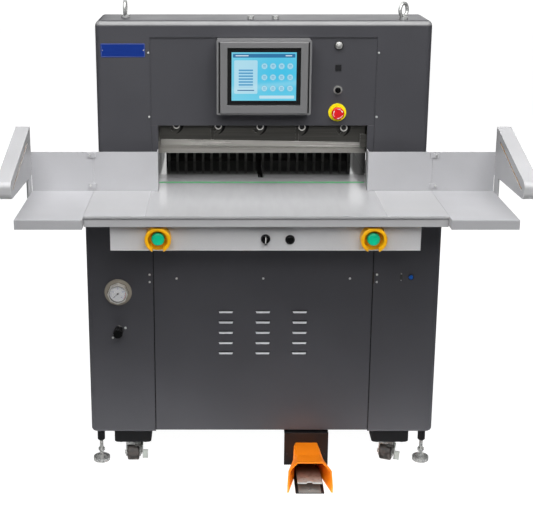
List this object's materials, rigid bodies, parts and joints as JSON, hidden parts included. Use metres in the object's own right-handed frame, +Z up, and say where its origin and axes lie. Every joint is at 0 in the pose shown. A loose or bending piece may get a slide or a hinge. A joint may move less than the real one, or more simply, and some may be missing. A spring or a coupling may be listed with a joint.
{
  "type": "hydraulic paper cutter",
  "caption": "Free-standing hydraulic guillotine with side tables, light curtain arms, clamp, knife, backgauge, touch panel and foot pedal.",
  "frame": {"origin": "on the floor under the middle of the whole machine", "axes": "+X to the operator's right, +Y from the front edge to the rear, +Z up"},
  "size_m": [1.59, 1.215, 1.5226],
  "materials": {
    "charcoal_paint": "satin powder coat",
    "table_paint": "satin powder coat",
    "arm_paint": "satin powder coat",
    "cast_table": "ground and coated",
    "frame_paint": "satin paint",
    "cast_frame": "machined casting",
    "amber_window": "clear gloss",
    "zinc": "bright zinc plate",
    "monitor_plastic": "satin",
    "screen": "glossy",
    "fitting_metal": "satin",
    "yellow_plastic": "satin",
    "green_plastic": "satin",
    "stick_plastic": "satin",
    "red_plastic": "satin",
    "blue_plastic": "gloss",
    "black_plastic": "matte",
    "key_metal": "bright",
    "lens_glass": "clear",
    "orange_plastic": "satin paint",
    "treadle_rubber": "ribbed",
    "unit_paint": "satin",
    "cylinder_steel": "ground",
    "ground_steel": "ground",
    "gauge_metal": "machined",
    "wheel_rubber": "matte",
    "brake_plastic": "satin"
  },
  "bodies": {
    "machine": {"base_frame": "frame_paint", "side_frames": "cast_frame", "left_cabinet_cover": "charcoal_paint", "right_cabinet_cover": "charcoal_paint", "front_panel": "charcoal_paint", "rear_covers": "charcoal_paint", "front_table": "cast_table", "rear_table": "cast_table", "side_tables": "table_paint", "fences": "table_paint", "guard_arms": "arm_paint", "light_curtains": "amber_window", "housing_cover": "charcoal_paint", "upper_front_panel": "charcoal_paint", "lifting_eyes": "zinc", "cover_screws": "zinc", "monitor_case": "monitor_plastic", "display_panel": "screen", "panel_fittings": "fitting_metal", "button_bar": "table_paint", "button_guards": "yellow_plastic", "pressure_gauge": "fitting_metal", "gauge_lens": "lens_glass", "pedal_bracket": "frame_paint", "pedal_hood": "orange_plastic", "cutting_stick": "stick_plastic", "hydraulic_unit": "unit_paint", "cylinders": "cylinder_steel", "control_box": "unit_paint", "gauge_motor": "black_plastic", "rear_forks": "zinc"},
    "clamp": {"clamp_beam": "ground_steel"},
    "knife_drive": {"knife_pull_rod": "cylinder_steel"},
    "knife": {"knife_carrier": "ground_steel", "knife_blade": "ground_steel", "knife_bolts": "cylinder_steel"},
    "backgauge": {"backgauge": "gauge_metal"},
    "leadscrew": {"leadscrew": "cylinder_steel"},
    "left_button": {"left_button": "green_plastic"},
    "right_button": {"right_button": "green_plastic"},
    "selector_knob": {"selector_knob": "black_plastic"},
    "jog_button": {"jog_button": "black_plastic"},
    "emergency_stop": {"emergency_stop_head": "red_plastic"},
    "key_knob": {"key_knob": "key_metal"},
    "reset_button": {"reset_button": "blue_plastic"},
    "valve_knob": {"valve_knob": "black_plastic"},
    "gauge_needle": {"gauge_needle": "black_plastic"},
    "pedal_treadle": {"pedal_treadle": "treadle_rubber"},
    "front_left_fork": {"front_left_fork": "zinc"},
    "front_right_fork": {"front_right_fork": "zinc"},
    "front_left_wheel": {"front_left_wheel": "wheel_rubber"},
    "front_right_wheel": {"front_right_wheel": "wheel_rubber"},
    "rear_left_wheel": {"rear_left_wheel": "wheel_rubber"},
    "rear_right_wheel": {"rear_right_wheel": "wheel_rubber"},
    "front_left_brake": {"front_left_brake": "brake_plastic"},
    "front_right_brake": {"front_right_brake": "brake_plastic"},
    "front_left_foot": {"front_left_foot": "zinc"},
    "front_right_foot": {"front_right_foot": "zinc"},
    "rear_left_foot": {"rear_left_foot": "zinc"},
    "rear_right_foot": {"rear_right_foot": "zinc"}
  },
  "joints": [
    {"name": "clamp_slide", "type": "slide", "parent": "machine", "child": "clamp", "axis": [0, 0, -1], "range_m": [0, 0.095], "stiffness_N_per_m": 16000, "springref_m": -0.05},
    {"name": "knife_slide", "type": "slide", "parent": "machine", "child": "knife_drive", "axis": [-0.1675, 0, -0.9859], "range_m": [0, 0.13213], "stiffness_N_per_m": 12000, "springref_m": -0.05},
    {"name": "knife_level", "type": "hinge", "parent": "knife_drive", "child": "knife", "pos_m": [-0.4, -0.1475, 1.2], "axis": [0, -1, 0], "range_deg": [0, 0.96]},
    {"name": "backgauge_slide", "type": "slide", "parent": "machine", "child": "backgauge", "axis": [0, 1, 0], "range_m": [-0.237, 0.278]},
    {"name": "leadscrew_turn", "type": "hinge", "parent": "machine", "child": "leadscrew", "pos_m": [0, 0, 0.862], "axis": [0, 1, 0], "continuous": true},
    {"name": "left_button_press", "type": "slide", "parent": "machine", "child": "left_button", "axis": [0, 1, 0], "range_m": [0, 0.006], "stiffness_N_per_m": 900},
    {"name": "right_button_press", "type": "slide", "parent": "machine", "child": "right_button", "axis": [0, 1, 0], "range_m": [0, 0.006], "stiffness_N_per_m": 900},
    {"name": "jog_button_press", "type": "slide", "parent": "machine", "child": "jog_button", "axis": [0, 1, 0], "range_m": [0, 0.004], "stiffness_N_per_m": 900},
    {"name": "emergency_stop_press", "type": "slide", "parent": "machine", "child": "emergency_stop", "axis": [0, 1, 0], "range_m": [0, 0.005], "stiffness_N_per_m": 1500},
    {"name": "reset_button_press", "type": "slide", "parent": "machine", "child": "reset_button", "axis": [0, 1, 0], "range_m": [0, 0.0015], "stiffness_N_per_m": 600},
    {"name": "selector_turn", "type": "hinge", "parent": "machine", "child": "selector_knob", "pos_m": [0, -0.4965, 0.836], "axis": [0, 1, 0], "range_deg": [-45, 45]},
    {"name": "key_turn", "type": "hinge", "parent": "machine", "child": "key_knob", "pos_m": [0.241, -0.1862, 1.243], "axis": [0, 1, 0], "range_deg": [0, 90]},
    {"name": "valve_turn", "type": "hinge", "parent": "machine", "child": "valve_knob", "pos_m": [-0.468, -0.3525, 0.485], "axis": [0, 1, 0], "range_deg": [-360, 360]},
    {"name": "needle_turn", "type": "hinge", "parent": "machine", "child": "gauge_needle", "pos_m": [-0.468, -0.3705, 0.6115], "axis": [0, 1, 0], "range_deg": [0, 270], "stiffness_Nm_per_rad": 0.002},
    {"name": "treadle_press", "type": "hinge", "parent": "machine", "child": "pedal_treadle", "pos_m": [0.1485, -0.3925, 0.019], "axis": [1, 0, 0], "range_deg": [0, 8], "stiffness_Nm_per_rad": 4, "springref_deg": -17.19},
    {"name": "front_left_swivel", "type": "hinge", "parent": "machine", "child": "front_left_fork", "pos_m": [-0.432, -0.2965, 0.07], "axis": [0, 0, 1], "continuous": true},
    {"name": "front_left_wheel_turn", "type": "hinge", "parent": "front_left_fork", "child": "front_left_wheel", "pos_m": [-0.432, -0.3205, 0.0275], "axis": [1, 0, 0], "continuous": true},
    {"name": "front_left_brake_press", "type": "hinge", "parent": "front_left_fork", "child": "front_left_brake", "pos_m": [-0.432, -0.3205, 0.061], "axis": [1, 0, 0], "range_deg": [0, 12]},
    {"name": "rear_left_wheel_turn", "type": "hinge", "parent": "machine", "child": "rear_left_wheel", "pos_m": [-0.432, 0.3255, 0.0275], "axis": [1, 0, 0], "continuous": true},
    {"name": "front_left_foot_turn", "type": "hinge", "parent": "machine", "child": "front_left_foot", "pos_m": [-0.54, -0.3205, 0.06], "axis": [0, 0, 1], "continuous": true},
    {"name": "rear_left_foot_turn", "type": "hinge", "parent": "machine", "child": "rear_left_foot", "pos_m": [-0.54, 0.3255, 0.06], "axis": [0, 0, 1], "continuous": true},
    {"name": "front_right_swivel", "type": "hinge", "parent": "machine", "child": "front_right_fork", "pos_m": [0.432, -0.2965, 0.07], "axis": [0, 0, 1], "continuous": true},
    {"name": "front_right_wheel_turn", "type": "hinge", "parent": "front_right_fork", "child": "front_right_wheel", "pos_m": [0.42301, -0.31875, 0.0275], "axis": [0.9272, -0.3746, 0], "continuous": true},
    {"name": "front_right_brake_press", "type": "hinge", "parent": "front_right_fork", "child": "front_right_brake", "pos_m": [0.42301, -0.31875, 0.061], "axis": [0.9272, -0.3746, 0], "range_deg": [0, 12]},
    {"name": "rear_right_wheel_turn", "type": "hinge", "parent": "machine", "child": "rear_right_wheel", "pos_m": [0.432, 0.3255, 0.0275], "axis": [1, 0, 0], "continuous": true},
    {"name": "front_right_foot_turn", "type": "hinge", "parent": "machine", "child": "front_right_foot", "pos_m": [0.54, -0.3205, 0.06], "axis": [0, 0, 1], "continuous": true},
    {"name": "rear_right_foot_turn", "type": "hinge", "parent": "machine", "child": "rear_right_foot", "pos_m": [0.54, 0.3255, 0.06], "axis": [0, 0, 1], "continuous": true}
  ],
  "couplings": [
    {"joint": "knife_level", "follows": "knife_slide", "rad_per_m": 0.12387},
    {"joint": "leadscrew_turn", "follows": "backgauge_slide", "rad_per_m": 314.16}
  ]
}
